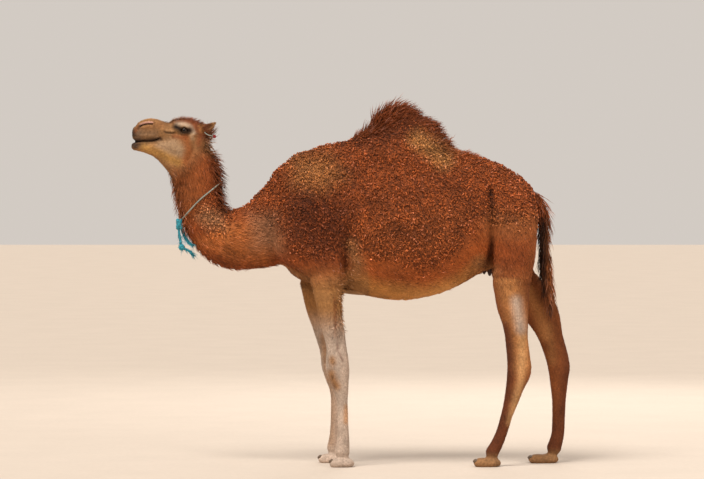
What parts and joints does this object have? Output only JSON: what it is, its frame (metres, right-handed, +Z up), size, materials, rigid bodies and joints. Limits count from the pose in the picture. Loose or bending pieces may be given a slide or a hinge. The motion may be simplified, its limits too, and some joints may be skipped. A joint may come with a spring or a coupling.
{
  "type": "camel model",
  "caption": "Life-size still model of a one-humped camel cow, standing, with woolly coat, raised head, hanging tail and a cord with knotted rope ends round her neck.",
  "frame": {"origin": "middle of the ground she stands on, under her belly; soles at z = 0", "axes": "+Z up, -X forwards along her body, -Y to her left"},
  "size_m": [2.561, 0.6276, 2.1081],
  "materials": {
    "coat": "woolly red-brown coat, pale on the forelegs, cheeks and belly, dark on the tail and mane",
    "dark_skin": "bare grey-brown skin of the chest pad and teats",
    "eye": "wet dark brown eye",
    "horn": "dull brown horn of the toenails",
    "cord": "thin pale twisted cord",
    "rope": "faded turquoise rope",
    "tag": "plain dark red button"
  },
  "bodies": {
    "root": {"head": "coat", "neck": "coat", "trunk": "coat", "tail": "coat", "ear_left": "coat", "ear_right": "coat", "left_foreleg": "coat", "right_foreleg": "coat", "left_hind_leg": "coat", "right_hind_leg": "coat", "nail_left_foreleg_outer": "horn", "nail_left_foreleg_inner": "horn", "nail_right_foreleg_outer": "horn", "nail_right_foreleg_inner": "horn", "nail_left_hind_leg_outer": "horn", "nail_left_hind_leg_inner": "horn", "nail_right_hind_leg_outer": "horn", "nail_right_hind_leg_inner": "horn", "teat_front_left": "dark_skin", "teat_front_right": "dark_skin", "teat_rear_left": "dark_skin", "teat_rear_right": "dark_skin", "chest_pad": "dark_skin", "eye_left": "eye", "eye_right": "eye", "neck_cord": "cord", "ear_tag_strap": "cord", "ear_tag_button": "tag", "rope_knot_upper": "rope", "rope_knot_lower": "rope", "rope_strand": "rope", "rope_loose_end": "rope", "rope_flap": "rope"}
  },
  "joints": []
}
